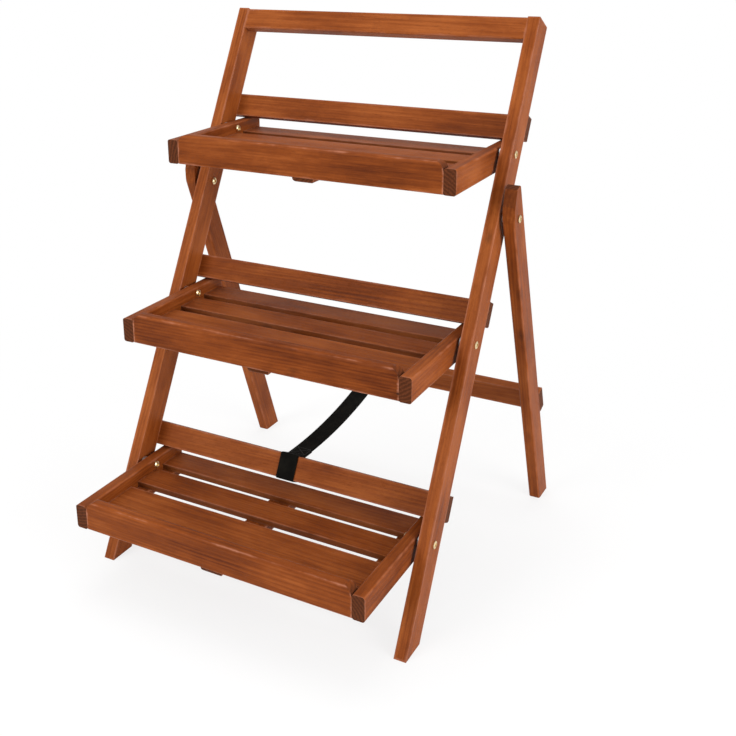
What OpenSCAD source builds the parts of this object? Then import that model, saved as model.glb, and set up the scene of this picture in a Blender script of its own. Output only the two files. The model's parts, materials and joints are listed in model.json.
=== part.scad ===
// Folding plant ladder stand in stained hardwood: a leaning ladder frame, a rear leg
// frame hinged to it, three level trays that swing up on pins, and a webbing strap that
// stops the legs from spreading. X is the width, -Y the front, Z up. The origin lies on
// the floor under the middle of the open stand.

/* [Overall] */
// Height of the stile tops above the floor
stand_h = 790; // [700:5:900]
// Width over the heads of the leg pivot bolts
stand_w = 560; // [480:5:700]
// Thickness of the stiles, legs, tray sides and front boards
board_t = 18; // [15:0.5:21]

/* [Ladder frame] */
// Lean of the stiles back from the vertical, in degrees
lean = 28.5; // [25:0.5:31]
// Depth of a stile, front to back
stile_d = 38; // [36:1:44]
// Thickness of the screwed cross rails
rail_t = 15; // [12:1:18]
// Height of the screwed cross rails
rail_h = 36; // [30:1:42]
// Height of the top rail
top_rail_h = 33; // [24:1:34]
// Distance from the stile tops down to the top rail
top_rail_drop = 1; // [0:0.5:1.5]

/* [Rear legs] */
// Splay of the rear legs from the vertical, in degrees
splay = 19.8; // [16:0.2:24]
// Depth of a rear leg, front to back
leg_d = 38; // [34:1:38]
// Distance from the floor up the stile to the leg pivots
leg_pivot_s = 610; // [590:1:630]
// Length of a rear leg above its pivot
leg_head = 46; // [40:1:52]
// Distance from the leg pivots down to the middle of the rear rail
rear_rail_drop = 367.5; // [350:0.5:367.5]
// Height of the rear rail
rear_rail_h = 38; // [30:1:38]

/* [Trays] */
// Distance from the floor up the stile to the lowest tray pins
tray_pin_s = 154; // [150:1:154]
// Distance along the stile from one tray to the next
tray_pitch = 273; // [265:1:273]
// Setback of the tray pins from the front of the stile
tray_pin_v = 16; // [14:0.5:18]
// Reach of a tray in front of its pins
tray_reach = 160; // [140:1:160]
// Length of a tray side behind its pins
tray_tail = 66; // [62:1:70]
// Height of the tray sides
side_h = 36; // [34:1:40]
// Height of the tray pins above the underside of the tray
pin_rise = 26.5; // [24:0.5:28]
// Height of the front board
board_h = 45; // [40:1:46]
// Radius of the front board's upper corners
board_corner_r = 16; // [6:1:18]
// Radius of the front board's upper edges
board_edge_r = 6; // [3:0.5:8]
// Thickness of the slats
slat_t = 9; // [8:0.5:10]
// Height of the slats' top above the underside of the tray
slat_rise = 19.5; // [18:0.5:20]
// Width of the middle and back slats
slat_w = 45; // [38:1:50]
// Gap between the slats
slat_gap = 16; // [12:0.5:20]
// Distance of the back slat's rear edge from the end of the tray sides
slat_inset = 5; // [2:0.5:8]
// Width of the centre batten
batten_w = 34; // [28:1:44]
// Height of the centre batten
batten_h = 17.5; // [16:0.5:22]
// Reach of the centre batten's lip under the front board
batten_reach = 16; // [8:1:18]
// Width of the cleats along the tray sides
cleat_w = 22; // [16:1:26]

/* [Strap] */
// Width of the webbing
strap_w = 30; // [20:1:40]
// Thickness of the webbing
strap_t = 1.6; // [1:0.1:1.8]
// Sag of the strap at its middle
strap_sag = 14; // [5:1:25]

/* [Hardware] */
// Diameter of the pivot bolts' shanks
bolt_d = 6; // [5:0.5:8]
// Diameter of the bolt heads and cap nuts
head_d = 11; // [9:0.5:12]
// Height of the bolt heads
head_h = 2.5; // [2:0.1:3]
// Height of the cap nuts
nut_h = 4; // [3:0.1:5]
// Diameter of the spacers between the wooden parts
spacer_d = 16; // [13:0.5:18]
// Gap between the legs and the stiles
leg_gap = 5.2; // [4.5:0.1:8]
// Gap between the trays and the stiles
tray_gap = 5; // [3:0.1:7]
// Diameter of the wood screws' shanks
screw_d = 4; // [3:0.25:4.5]
// Diameter of the wood screws' heads
screw_head_d = 8; // [7:0.25:9]
// Diameter of the hidden dowels
dowel_d = 8; // [6:0.5:10]

/* [Clearances] */
// Side clearance where one part turns against another
turn_gap = 0.3; // [0.2:0.05:0.5]
// Radial clearance of a turning board on its bolt
bore_gap = 0.08; // [0.05:0.01:0.1]
// Radial clearance of fixed hardware in its hole
fixed_gap = 0.05; // [0.02:0.01:0.1]

/* [Hidden] */
$fn = 48;
levels = ["low", "mid", "high"];
sides = [-1, 1];

// Widths, worked inwards from the heads of the leg bolts
leg_x = stand_w / 2 - head_h - turn_gap;
stile_x = leg_x - board_t - leg_gap;
tray_x = stile_x - board_t - tray_gap;
tray_in_x = tray_x - board_t;
rail_w = 2 * stile_x;
rear_rail_w = 2 * leg_x;
strap_clear = 0.2;

// A point in the stile's own axes: s up along it from the floor, v back from its front
function on_stile(s, v) = [s * sin(lean) + v * cos(lean), s * cos(lean) - v * sin(lean)];
stile_top_s = stand_h / cos(lean);
top_rail_s = stile_top_s - top_rail_drop - top_rail_h;

// A point in the rear leg's own axes: d down from its pivot, w back from its middle
leg_pivot = on_stile(leg_pivot_s, stile_d / 2);
function on_leg(d, w) = leg_pivot + [d * sin(splay) + w * cos(splay), w * sin(splay) - d * cos(splay)];
function leg_floor_d(w) = (leg_pivot[1] + w * sin(splay)) / cos(splay);

// The tray pins, and the front and back reach of the whole stand on the floor
function tray_pin(i) = on_stile(tray_pin_s + i * tray_pitch, tray_pin_v);
stand_front = tray_pin(0)[0] - tray_reach;
stand_back = on_leg(leg_floor_d(leg_d / 2), leg_d / 2)[0];
y_mid = (stand_front + stand_back) / 2;

// The cross rails sit where a level tray side meets their planed lower back corner
stop_z = side_h - pin_rise + turn_gap;
seat_w = 4;
function stop_s(v) = (stop_z + (v - tray_pin_v) * sin(lean)) / cos(lean);
rail_foot_s = stop_s(stile_d + rail_t - seat_w);
function rail_s(i) = tray_pin_s + i * tray_pitch + rail_foot_s;

// Slats, measured back from the front of the tray
tray_len = tray_reach + tray_tail;
slats_end = tray_len - slat_inset;
back_slat_y = slats_end - slat_w;
mid_slat_y = back_slat_y - slat_gap - slat_w;
front_slat_end = mid_slat_y - slat_gap;
slat_under = slat_rise - slat_t;
slat_len = 2 * tray_in_x;
slat_clear = 0.2;

// Screws, with the wood left in front of their points
screw_len = 30;
slat_skin = 5;
cleat_skin = 4;
slat_screw_len = batten_h + slat_t - slat_skin;
cleat_screw_len = slat_under + slat_t - cleat_skin;
screw_sink = 0.3;
screw_step = 18;
screw_rise = 2;
sink_over = 1;

// Dowels, with their places up the end of a board as shares of its height
dowel_len = 32;
dowel_in_side = 12;
rail_dowel_ups = [0.28, 0.72];
board_dowel_ups = [0.25, 0.75];

// The head of a rear leg: its eased back corner, and its front flats as shares of its size
head_ease = 5;
head_top_w = 0.15;
head_bend_d = 0.55;
head_bend_w = 0.6;
head_foot_d = 0.05;

// Brass and webbing
rim_share = 0.4;
dome_fn = 120;
nut_bite = nut_h * rim_share;
loop_out = strap_clear + strap_t;
strap_steps = 16;

// Moves what is drawn from the front foot of the stiles to the stand's own origin
module placed() {
    translate([0, -y_mid, 0]) children();
}

// A plate with its outline in the Y-Z plane, from x0 towards +X
module side_plate(outline, x0, thickness) {
    translate([x0, 0, 0]) rotate([90, 0, 90]) linear_extrude(thickness) polygon(outline);
}

// A round bar along X through a point of the Y-Z plane, from x0 to x1
module cross_bar(point, x0, x1, d) {
    translate([min(x0, x1), point[0], point[1]])
        rotate([0, 90, 0]) cylinder(d = d, h = abs(x1 - x0));
}

// Axes of the stile with its foot at the origin: X across, Y back, Z up along it
module in_stile_axes() {
    rotate([-lean, 0, 0]) children();
}

// Axes of the rear leg with its pivot at the origin: X across, Y back, Z up along it
module in_leg_axes() {
    translate([0, leg_pivot[0], leg_pivot[1]]) rotate([splay, 0, 0]) children();
}

// Axes of a tray: X across, Y back from its front, Z up from its underside
module in_tray_axes(i) {
    translate([0, tray_pin(i)[0] - tray_reach, tray_pin(i)[1] - pin_rise]) children();
}

// A domed brass head of the given diameter and height, flat side at z = 0
module dome(d, h) {
    rim = h * rim_share;
    cylinder(d = d, h = rim);
    translate([0, 0, rim]) rotate_extrude()
        intersection() {
            scale_r = (d * d / 4 + (h - rim) * (h - rim)) / (2 * (h - rim));
            translate([0, h - rim - scale_r]) circle(r = scale_r, $fn = dome_fn);
            square([d / 2, h - rim]);
        }
}

// ---- Ladder frame ----

module stile(side) {
    x0 = side > 0 ? stile_x - board_t : -stile_x;
    color("sienna") placed() difference() {
        side_plate([
            [0, 0],
            [stile_d / cos(lean), 0],
            on_stile(stile_top_s, stile_d),
            on_stile(stile_top_s, 0)
        ], x0, board_t);
        for (i = [0 : 2])
            cross_bar(tray_pin(i), x0 - 1, x0 + board_t + 1, bolt_d + 2 * fixed_gap);
        cross_bar(leg_pivot, x0 - 1, x0 + board_t + 1, bolt_d + 2 * fixed_gap);
        placed_dowels(side, 2 * fixed_gap);
        placed_rail_screws([side], 2 * fixed_gap);
    }
}

module top_rail() {
    color("chocolate") placed() difference() {
        in_stile_axes() translate([board_t - stile_x, 0, top_rail_s])
            cube([rail_w - 2 * board_t, board_t, top_rail_h]);
        for (side = sides) placed_dowels(side, 2 * fixed_gap);
    }
}

// The dowels of one end of the top rail, thickened by extra
module placed_dowels(side, extra) {
    in_stile_axes() for (up = rail_dowel_ups)
        translate([side * (stile_x - board_t + dowel_in_side), board_t / 2,
                   top_rail_s + up * top_rail_h])
            rotate([0, -side * 90, 0]) cylinder(d = dowel_d + extra, h = dowel_len);
}

module top_rail_dowels() {
    color("burlywood") placed() for (side = sides) placed_dowels(side, 0);
}

// A cross rail's section in stile axes, with the corner that stops the tray planed level
function cross_rail_section(s) = [
    on_stile(s, stile_d),
    on_stile(s, stile_d + rail_t - seat_w),
    on_stile(s - rail_foot_s + stop_s(stile_d + rail_t), stile_d + rail_t),
    on_stile(s + rail_h, stile_d + rail_t),
    on_stile(s + rail_h, stile_d)
];

module cross_rail(i) {
    color("peru") placed() difference() {
        side_plate(cross_rail_section(rail_s(i)), -stile_x, rail_w);
        placed_rail_screws(sides, 2 * fixed_gap);
    }
}

// One countersunk screw along its own -Z, its head's top at z = 0
module wood_screw(len, extra) {
    cone_h = (screw_head_d - screw_d) / 2;
    translate([0, 0, -len]) cylinder(d = screw_d + extra, h = len);
    translate([0, 0, -cone_h])
        cylinder(d1 = screw_d + extra, d2 = screw_head_d + extra, h = cone_h);
    if (extra > 0) cylinder(d = screw_head_d + extra, h = sink_over);
}

// The two screws at each end of every cross rail, driven in from behind
module placed_rail_screws(which, extra) {
    in_stile_axes() for (i = [0 : 2], side = which, up = sides)
        translate([side * (stile_x - board_t / 2), stile_d + rail_t - screw_sink,
                   rail_s(i) + rail_h / 2 + screw_rise + up * screw_step / 2])
            rotate([-90, 0, 0]) wood_screw(screw_len, extra);
}

module cross_rail_screws() {
    color("gold") placed() placed_rail_screws(sides, 0);
}

// ---- Pivot hardware ----

// A bolt from its head at x_head inwards to x_end, for the given side
module pivot_bolt(point, side, x_head, x_end) {
    translate([side * x_head, point[0], point[1]]) rotate([0, side * 90, 0])
        dome(head_d, head_h);
    cross_bar(point, side * x_head, side * x_end, bolt_d);
}

// A cap nut whose flat face is at x_face, opening towards the bolt
module pivot_nut(point, side, x_face) {
    translate([side * x_face, point[0], point[1]]) rotate([0, -side * 90, 0])
        difference() {
            dome(head_d, nut_h);
            translate([0, 0, -1]) cylinder(d = bolt_d + 2 * fixed_gap, h = 1 + nut_bite + 2 * fixed_gap);
        }
}

module pivot_spacer(point, side, x0, x1) {
    difference() {
        cross_bar(point, side * x0, side * x1, spacer_d);
        cross_bar(point, side * (x0 - 1), side * (x1 + 1), bolt_d + 2 * fixed_gap);
    }
}

module tray_pivot_bolts() {
    color("gold") placed() for (i = [0 : 2], side = sides)
        pivot_bolt(tray_pin(i), side, stile_x, tray_in_x - turn_gap - nut_bite);
}

module tray_pivot_nuts() {
    color("goldenrod") placed() for (i = [0 : 2], side = sides)
        pivot_nut(tray_pin(i), side, tray_in_x - turn_gap);
}

module tray_pivot_spacers() {
    color("silver") placed() for (i = [0 : 2], side = sides)
        pivot_spacer(tray_pin(i), side, tray_x + turn_gap, tray_x + tray_gap);
}

module leg_pivot_bolts() {
    color("gold") placed() for (side = sides)
        pivot_bolt(leg_pivot, side, leg_x + turn_gap, stile_x - board_t - nut_bite);
}

module leg_pivot_nuts() {
    color("goldenrod") placed() for (side = sides)
        pivot_nut(leg_pivot, side, stile_x - board_t);
}

module leg_pivot_spacers() {
    color("silver") placed() for (side = sides)
        pivot_spacer(leg_pivot, side, stile_x, stile_x + leg_gap - turn_gap);
}

// ---- Rear leg frame ----

// The head of a leg is cut away at the front, in two flats, down to a small square top
module rear_leg(side) {
    x0 = side > 0 ? leg_x - board_t : -leg_x;
    half = leg_d / 2;
    color("saddlebrown") placed() difference() {
        side_plate([
            on_leg(leg_floor_d(-half), -half),
            on_leg(leg_floor_d(half), half),
            on_leg(head_ease - leg_head, half),
            on_leg(-leg_head, half - head_ease),
            on_leg(-leg_head, half * head_top_w),
            on_leg(-leg_head * head_bend_d, -half * head_bend_w),
            on_leg(-leg_head * head_foot_d, -half)
        ], x0, board_t);
        cross_bar(leg_pivot, x0 - 1, x0 + board_t + 1, bolt_d + 2 * bore_gap);
        placed_rear_screws([side], 2 * fixed_gap);
    }
}

module rear_rail() {
    color("peru") placed() difference() {
        in_leg_axes() translate([-leg_x, leg_d / 2, -rear_rail_drop - rear_rail_h / 2])
            cube([rear_rail_w, rail_t, rear_rail_h]);
        placed_rear_screws(sides, 2 * fixed_gap);
    }
}

module placed_rear_screws(which, extra) {
    in_leg_axes() for (side = which, up = sides)
        translate([side * (leg_x - board_t / 2), leg_d / 2 + rail_t - screw_sink,
                   up * screw_step / 2 - rear_rail_drop])
            rotate([-90, 0, 0]) wood_screw(screw_len, extra);
}

module rear_rail_screws() {
    color("gold") placed() placed_rear_screws(sides, 0);
}

// ---- Trays ----

module tray_side(i, side) {
    x0 = side > 0 ? tray_in_x : -tray_x;
    color("sienna") placed() difference() {
        in_tray_axes(i) translate([x0, 0, 0]) cube([board_t, tray_len, side_h]);
        cross_bar(tray_pin(i), x0 - 1, x0 + board_t + 1, bolt_d + 2 * bore_gap);
        placed_front_dowels(i, side, 2 * fixed_gap);
    }
}

// The front board: round upper corners seen from the front, round upper edges in section
module tray_front_board(i) {
    half = tray_in_x;
    r = board_corner_r;
    e = board_edge_r;
    color("chocolate") placed() difference() {
        in_tray_axes(i) intersection() {
            translate([0, board_t, 0]) rotate([90, 0, 0]) linear_extrude(board_t) union() {
                translate([-half, 0]) square([2 * half, board_h - r]);
                translate([r - half, 0]) square([2 * half - 2 * r, board_h]);
                for (side = sides) translate([side * (half - r), board_h - r]) circle(r = r);
            }
            translate([-half, 0, 0]) rotate([90, 0, 90]) linear_extrude(2 * half) union() {
                square([board_t, board_h - e]);
                translate([e, 0]) square([board_t - 2 * e, board_h]);
                for (y = [e, board_t - e]) translate([y, board_h - e]) circle(r = e);
            }
        }
        for (side = sides) placed_front_dowels(i, side, 2 * fixed_gap);
    }
}

module tray_slat(i, y0, y1) {
    color("peru") placed() difference() {
        in_tray_axes(i) translate([-tray_in_x + slat_clear, y0, slat_under])
            cube([slat_len - 2 * slat_clear, y1 - y0, slat_t]);
        placed_slat_screws(i, 2 * fixed_gap);
    }
}

module tray_cleat(i, side) {
    x0 = side > 0 ? tray_in_x - cleat_w : -tray_in_x;
    color("tan") placed() difference() {
        in_tray_axes(i) translate([x0, board_t, 0])
            cube([cleat_w, slats_end - board_t, slat_under]);
        placed_slat_screws(i, 2 * fixed_gap);
    }
}

module tray_batten(i) {
    color("tan") placed() difference() {
        in_tray_axes(i) side_plate([
            [board_t - batten_reach, slat_under - batten_h], [slats_end, slat_under - batten_h],
            [slats_end, slat_under], [board_t, slat_under],
            [board_t, 0], [board_t - batten_reach, 0]
        ], -batten_w / 2, batten_w);
        placed_slat_screws(i, 2 * fixed_gap);
    }
}

// Two dowels join each tray side to the end of the front board, thickened by extra
module placed_front_dowels(i, side, extra) {
    in_tray_axes(i) for (up = board_dowel_ups)
        translate([side * (tray_in_x + dowel_in_side), board_t / 2, up * side_h])
            rotate([0, -side * 90, 0]) cylinder(d = dowel_d + extra, h = dowel_len);
}

// A screw up through the batten and each cleat into the middle of every slat
module placed_slat_screws(i, extra) {
    middles = [(board_t + front_slat_end) / 2, mid_slat_y + slat_w / 2, back_slat_y + slat_w / 2];
    in_tray_axes(i) for (y = middles) {
        translate([0, y, slat_under - batten_h + screw_sink])
            rotate([180, 0, 0]) wood_screw(slat_screw_len, extra);
        for (side = sides) translate([side * (tray_in_x - cleat_w / 2), y, screw_sink])
            rotate([180, 0, 0]) wood_screw(cleat_screw_len, extra);
    }
}

module tray_screws(i) {
    color("gold") placed() placed_slat_screws(i, 0);
}

module tray_dowels(i) {
    color("burlywood") placed() for (side = sides) placed_front_dowels(i, side, 0);
}

// ---- Strap ----

// A closed band of webbing round a rail: its inside is the rail and a little clearance
module strap_band(depth, height) {
    out = strap_clear + strap_t;
    translate([-strap_w / 2, 0, 0]) difference() {
        translate([0, -out, -out]) cube([strap_w, depth + 2 * out, height + 2 * out]);
        translate([-1, -strap_clear, -strap_clear])
            cube([strap_w + 2, depth + 2 * strap_clear, height + 2 * strap_clear]);
    }
}

module strap_front_loop() {
    color("black") placed() in_stile_axes() translate([0, stile_d, rail_s(0)])
        strap_band(rail_t, rail_h);
}

module strap_rear_loop() {
    color("black") placed() in_leg_axes()
        translate([0, leg_d / 2, -rear_rail_drop - rear_rail_h / 2])
            strap_band(rail_t, rear_rail_h);
}

// The run of webbing hangs from the top of the front loop to the front of the rear loop
strap_from = on_stile(rail_s(0) + rail_h + loop_out - strap_t, stile_d + rail_t + loop_out + turn_gap);
strap_to = on_leg(rear_rail_drop - rear_rail_h / 2 + strap_t, leg_d / 2 - loop_out - turn_gap);
function strap_line(f) = strap_from + f * (strap_to - strap_from) - [0, 4 * strap_sag * f * (1 - f)];

module strap() {
    upper = [for (k = [0 : strap_steps]) strap_line(k / strap_steps)];
    lower = [for (k = [strap_steps : -1 : 0]) strap_line(k / strap_steps) - [0, strap_t]];
    color("black") placed() side_plate(concat(upper, lower), -strap_w / 2, strap_w);
}

stile(-1);  // stile_left
stile(1);  // stile_right
top_rail();
top_rail_dowels();
cross_rail(0);  // cross_rail_low
cross_rail(1);  // cross_rail_mid
cross_rail(2);  // cross_rail_high
cross_rail_screws();
tray_pivot_bolts();
tray_pivot_nuts();
tray_pivot_spacers();
leg_pivot_bolts();
leg_pivot_nuts();
leg_pivot_spacers();
rear_leg(-1);  // rear_leg_left
rear_leg(1);  // rear_leg_right
rear_rail();
rear_rail_screws();
tray_side(0, -1);  // tray_low_side_left
tray_side(0, 1);  // tray_low_side_right
tray_front_board(0);  // tray_low_front_board
tray_slat(0, board_t, front_slat_end);  // tray_low_slat_front
tray_slat(0, mid_slat_y, mid_slat_y + slat_w);  // tray_low_slat_middle
tray_slat(0, back_slat_y, slats_end);  // tray_low_slat_back
tray_cleat(0, -1);  // tray_low_cleat_left
tray_cleat(0, 1);  // tray_low_cleat_right
tray_batten(0);  // tray_low_batten
tray_screws(0);  // tray_low_screws
tray_dowels(0);  // tray_low_dowels
tray_side(1, -1);  // tray_mid_side_left
tray_side(1, 1);  // tray_mid_side_right
tray_front_board(1);  // tray_mid_front_board
tray_slat(1, board_t, front_slat_end);  // tray_mid_slat_front
tray_slat(1, mid_slat_y, mid_slat_y + slat_w);  // tray_mid_slat_middle
tray_slat(1, back_slat_y, slats_end);  // tray_mid_slat_back
tray_cleat(1, -1);  // tray_mid_cleat_left
tray_cleat(1, 1);  // tray_mid_cleat_right
tray_batten(1);  // tray_mid_batten
tray_screws(1);  // tray_mid_screws
tray_dowels(1);  // tray_mid_dowels
tray_side(2, -1);  // tray_high_side_left
tray_side(2, 1);  // tray_high_side_right
tray_front_board(2);  // tray_high_front_board
tray_slat(2, board_t, front_slat_end);  // tray_high_slat_front
tray_slat(2, mid_slat_y, mid_slat_y + slat_w);  // tray_high_slat_middle
tray_slat(2, back_slat_y, slats_end);  // tray_high_slat_back
tray_cleat(2, -1);  // tray_high_cleat_left
tray_cleat(2, 1);  // tray_high_cleat_right
tray_batten(2);  // tray_high_batten
tray_screws(2);  // tray_high_screws
tray_dowels(2);  // tray_high_dowels
strap_front_loop();
strap_rear_loop();
strap();
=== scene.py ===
"""The looks of a folding plant ladder stand: oiled hardwood boards, brass fixings and a webbing stay."""

import json
import logging
import math
import random
from collections.abc import Callable, Iterable, Sequence
from dataclasses import dataclass, field
from enum import Enum
from functools import partial
from typing import Any

import bmesh
import bpy
from mathutils import Matrix, Vector
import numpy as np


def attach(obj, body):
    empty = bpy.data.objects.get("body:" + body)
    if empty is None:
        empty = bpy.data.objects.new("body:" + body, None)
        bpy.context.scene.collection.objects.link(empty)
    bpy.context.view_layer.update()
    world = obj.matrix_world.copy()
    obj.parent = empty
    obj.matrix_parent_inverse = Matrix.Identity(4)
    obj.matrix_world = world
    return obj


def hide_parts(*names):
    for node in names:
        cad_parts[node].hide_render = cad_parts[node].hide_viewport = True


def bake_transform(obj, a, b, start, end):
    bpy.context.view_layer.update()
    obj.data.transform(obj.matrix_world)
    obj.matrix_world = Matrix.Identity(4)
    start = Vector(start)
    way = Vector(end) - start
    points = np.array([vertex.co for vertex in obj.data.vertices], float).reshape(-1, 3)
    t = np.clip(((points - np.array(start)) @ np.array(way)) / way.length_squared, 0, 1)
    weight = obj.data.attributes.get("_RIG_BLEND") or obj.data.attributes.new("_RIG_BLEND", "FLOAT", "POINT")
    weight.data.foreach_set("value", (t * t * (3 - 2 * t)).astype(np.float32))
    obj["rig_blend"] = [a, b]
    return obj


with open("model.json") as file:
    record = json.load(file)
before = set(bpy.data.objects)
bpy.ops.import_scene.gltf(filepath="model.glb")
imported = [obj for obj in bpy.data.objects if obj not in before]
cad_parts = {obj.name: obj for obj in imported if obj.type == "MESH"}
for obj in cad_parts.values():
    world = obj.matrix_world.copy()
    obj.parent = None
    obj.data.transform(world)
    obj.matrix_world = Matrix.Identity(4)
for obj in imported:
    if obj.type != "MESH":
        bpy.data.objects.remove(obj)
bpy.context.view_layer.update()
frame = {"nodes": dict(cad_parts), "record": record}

log = logging.getLogger("plant_ladder")

MM = 0.001
NEAR = 0.01 * MM  # Points of the CAD solids that are nearer than this are one.
TOUCHING = 0.002 * MM  # The same for a freshly turned mesh.
LEAN_DEG = 28.5
SPLAY_DEG = 19.8
OUT_RIGHT = Vector((1, 0, 0))

Colour = tuple[float, float, float]
Shell = bmesh.types.BMesh
Ring = list[bmesh.types.BMEdge]
Piece = bpy.types.Object
Socket = bpy.types.NodeSocket
Material = bpy.types.Material
Value = float | Sequence[float] | bpy.types.NodeSocket


class Grain(Enum):
    """The way a board's grain runs, as the board's own axes written in its tilted frame."""

    UP = ((1, 0, 0), (0, 1, 0), (0, 0, 1))
    ACROSS = ((0, 1, 0), (0, 0, 1), (1, 0, 0))
    DEEP = ((0, 0, 1), (1, 0, 0), (0, 1, 0))


class Side(Enum):
    """The two sides of the stand, as a sign along X."""

    LEFT = -1
    RIGHT = 1


class Level(Enum):
    """The three trays, from the floor up."""

    LOW = "low"
    MID = "mid"
    HIGH = "high"


# ---- Places and directions ----


def tilted(degrees: float, axis: str = "X") -> Matrix:
    """A turn about one axis."""
    return Matrix.Rotation(math.radians(degrees), 3, axis)


def facing(point: Vector, outward: Vector) -> Matrix:
    """A place at a point with its Z axis turned outward."""
    return Matrix.Translation(point) @ outward.to_track_quat("Z", "Y").to_matrix().to_4x4()


def span(points: Iterable[Vector], axis: int) -> tuple[float, float]:
    """The least and the greatest coordinate of points along axis 0, 1 or 2."""
    numbers = [point[axis] for point in points]
    return min(numbers), max(numbers)


def middle_of(points: Sequence[Vector]) -> Vector:
    """The mean of points."""
    return sum(points, Vector()) / len(points)


# ---- Shading ----


class Graph:
    """The node tree of a material or a world, with short calls for the nodes that the looks use."""

    def __init__(self, owner: Material | bpy.types.World) -> None:
        """Starts an empty tree.

        Args:
            owner: The new material or world.
        """
        self.owner = owner
        self.owner.use_nodes = True
        self.tree = self.owner.node_tree
        self.tree.nodes.clear()

    def add(self, kind: str, settings: dict[str, Any] | None = None, **inputs: Value) -> bpy.types.Node:
        """Adds a node.

        Args:
            kind: The node's type, without its ShaderNode prefix.
            settings: The node's own properties.
            **inputs: Values or sockets for its inputs, with _ for each space in a name.

        Returns:
            The node.
        """
        made = self.tree.nodes.new("ShaderNode" + kind)
        for name, value in (settings or {}).items():
            setattr(made, name, value)
        for name, value in inputs.items():
            self.feed(made.inputs[name.replace("_", " ")], value)
        return made

    def feed(self, target: Socket, value: Value) -> None:
        """Links a socket to an input, or sets the input's own value.

        Args:
            target: The input.
            value: A socket, or a plain value.
        """
        if isinstance(value, bpy.types.NodeSocket):
            self.tree.links.new(value, target)
        else:
            target.default_value = value

    def attribute(self, name: str, output: str = "Vector") -> Socket:
        """Reads a mesh attribute.

        Args:
            name: The attribute's name.
            output: Vector for a vector, or Fac for a number.

        Returns:
            The output socket.
        """
        return self.add("Attribute", {"attribute_name": name}).outputs[output]

    def place(self) -> Socket:
        """Object coordinates, in metres."""
        return self.add("TexCoord").outputs["Object"]

    def maths(self, operation: str, *values: Value, kind: str = "Math") -> Socket:
        """Works something out of numbers or vectors.

        Args:
            operation: What it works out.
            *values: Up to three values or sockets.
            kind: The node's type, Math or VectorMath.

        Returns:
            The result.
        """
        made = self.add(kind, {"operation": operation})
        for target, value in zip(made.inputs, values):
            self.feed(target, value)
        return made.outputs[0]

    def vector(self, operation: str, *values: Value) -> Socket:
        """Works something out of up to three vectors."""
        return self.maths(operation, *values, kind="VectorMath")

    def sum_of(self, layers: Iterable[tuple[Socket, float]], start: Socket) -> Socket:
        """Adds layers to a value.

        Args:
            layers: Each layer, and how much of it.
            start: What they are added to.

        Returns:
            The sum.
        """
        for layer, share in layers:
            start = self.maths("MULTIPLY_ADD", layer, share, start)
        return start

    def parts(self, vector: Socket) -> tuple[Socket, Socket, Socket]:
        """The three numbers of a vector."""
        made = self.add("SeparateXYZ", Vector=vector)
        return made.outputs[0], made.outputs[1], made.outputs[2]

    def noise(
        self, place: Socket, scale: float, detail: float, stretch: Sequence[float] = (1, 1, 1)
    ) -> Socket:
        """Noise on a place, drawn out along its axes.

        Args:
            place: Where it is read, in metres.
            scale: Features to a metre.
            detail: Finer layers.
            stretch: The scale of each axis, below 1 for longer features.

        Returns:
            A value from 0 to 1.
        """
        drawn = self.vector("MULTIPLY", place, tuple(stretch))
        return self.add("TexNoise", Vector=drawn, Scale=scale, Detail=detail, Roughness=0.6).outputs["Fac"]

    def warp(self, place: Socket, scale: float) -> Socket:
        """A wandering vector about zero, for bending another pattern."""
        made = self.add("TexNoise", Vector=place, Scale=scale, Detail=1.0)
        return self.vector("SUBTRACT", made.outputs["Color"], (0.5, 0.5, 0.5))

    def remap(
        self, value: Socket, low: float, high: float, to_low: float = 0.0, to_high: float = 1.0
    ) -> Socket:
        """Takes a value smoothly from one range to another, clamped.

        Args:
            value: The value.
            low: Where its range starts.
            high: Where its range ends.
            to_low: What the start becomes.
            to_high: What the end becomes.

        Returns:
            The new value.
        """
        made = self.add("MapRange", {"interpolation_type": "SMOOTHSTEP"}, Value=value)
        for target, number in zip(list(made.inputs)[1:5], (low, high, to_low, to_high)):
            target.default_value = number
        return made.outputs["Result"]

    def blend(self, share: Value, low: Value, high: Value) -> Socket:
        """Mixes two colours.

        Args:
            share: How much of the second.
            low: The first colour.
            high: The second colour.

        Returns:
            The mixed colour.
        """
        made = self.add("Mix", {"data_type": "RGBA"})
        for target, value in zip((made.inputs[0], made.inputs[6], made.inputs[7]), (share, low, high)):
            self.feed(target, (*value, 1.0) if isinstance(value, tuple) and len(value) == 3 else value)
        return made.outputs[2]

    def ramp(self, value: Socket, stops: Sequence[tuple[float, Colour]]) -> Socket:
        """Colours along a value.

        Args:
            value: A number from 0 to 1.
            stops: Places and their colours, in order.

        Returns:
            The colour.
        """
        made = self.add("ValToRGB", Fac=value)
        row = made.color_ramp.elements
        while len(row) < len(stops):
            row.new(1.0)
        for element, (spot, colour) in zip(row, stops):
            element.position = spot
            element.color = (*colour, 1.0)
        return made.outputs["Color"]

    def bump(self, height: Socket, distance: float, strength: float) -> Socket:
        """A normal from a height in metres."""
        return self.add("Bump", Height=height, Distance=distance, Strength=strength).outputs["Normal"]

    def either(self, share: Socket, low: bpy.types.Node, high: bpy.types.Node, output: str) -> None:
        """Ends the tree in a mix of two shaders.

        Args:
            share: How much of the second.
            low: The first shader.
            high: The second shader.
            output: The type of the tree's last node.
        """
        mixed = self.add("MixShader", Fac=share)
        self.tree.links.new(low.outputs[0], mixed.inputs[1])
        self.tree.links.new(high.outputs[0], mixed.inputs[2])
        self.tree.links.new(mixed.outputs[0], self.add(output).inputs["Surface"])

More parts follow.
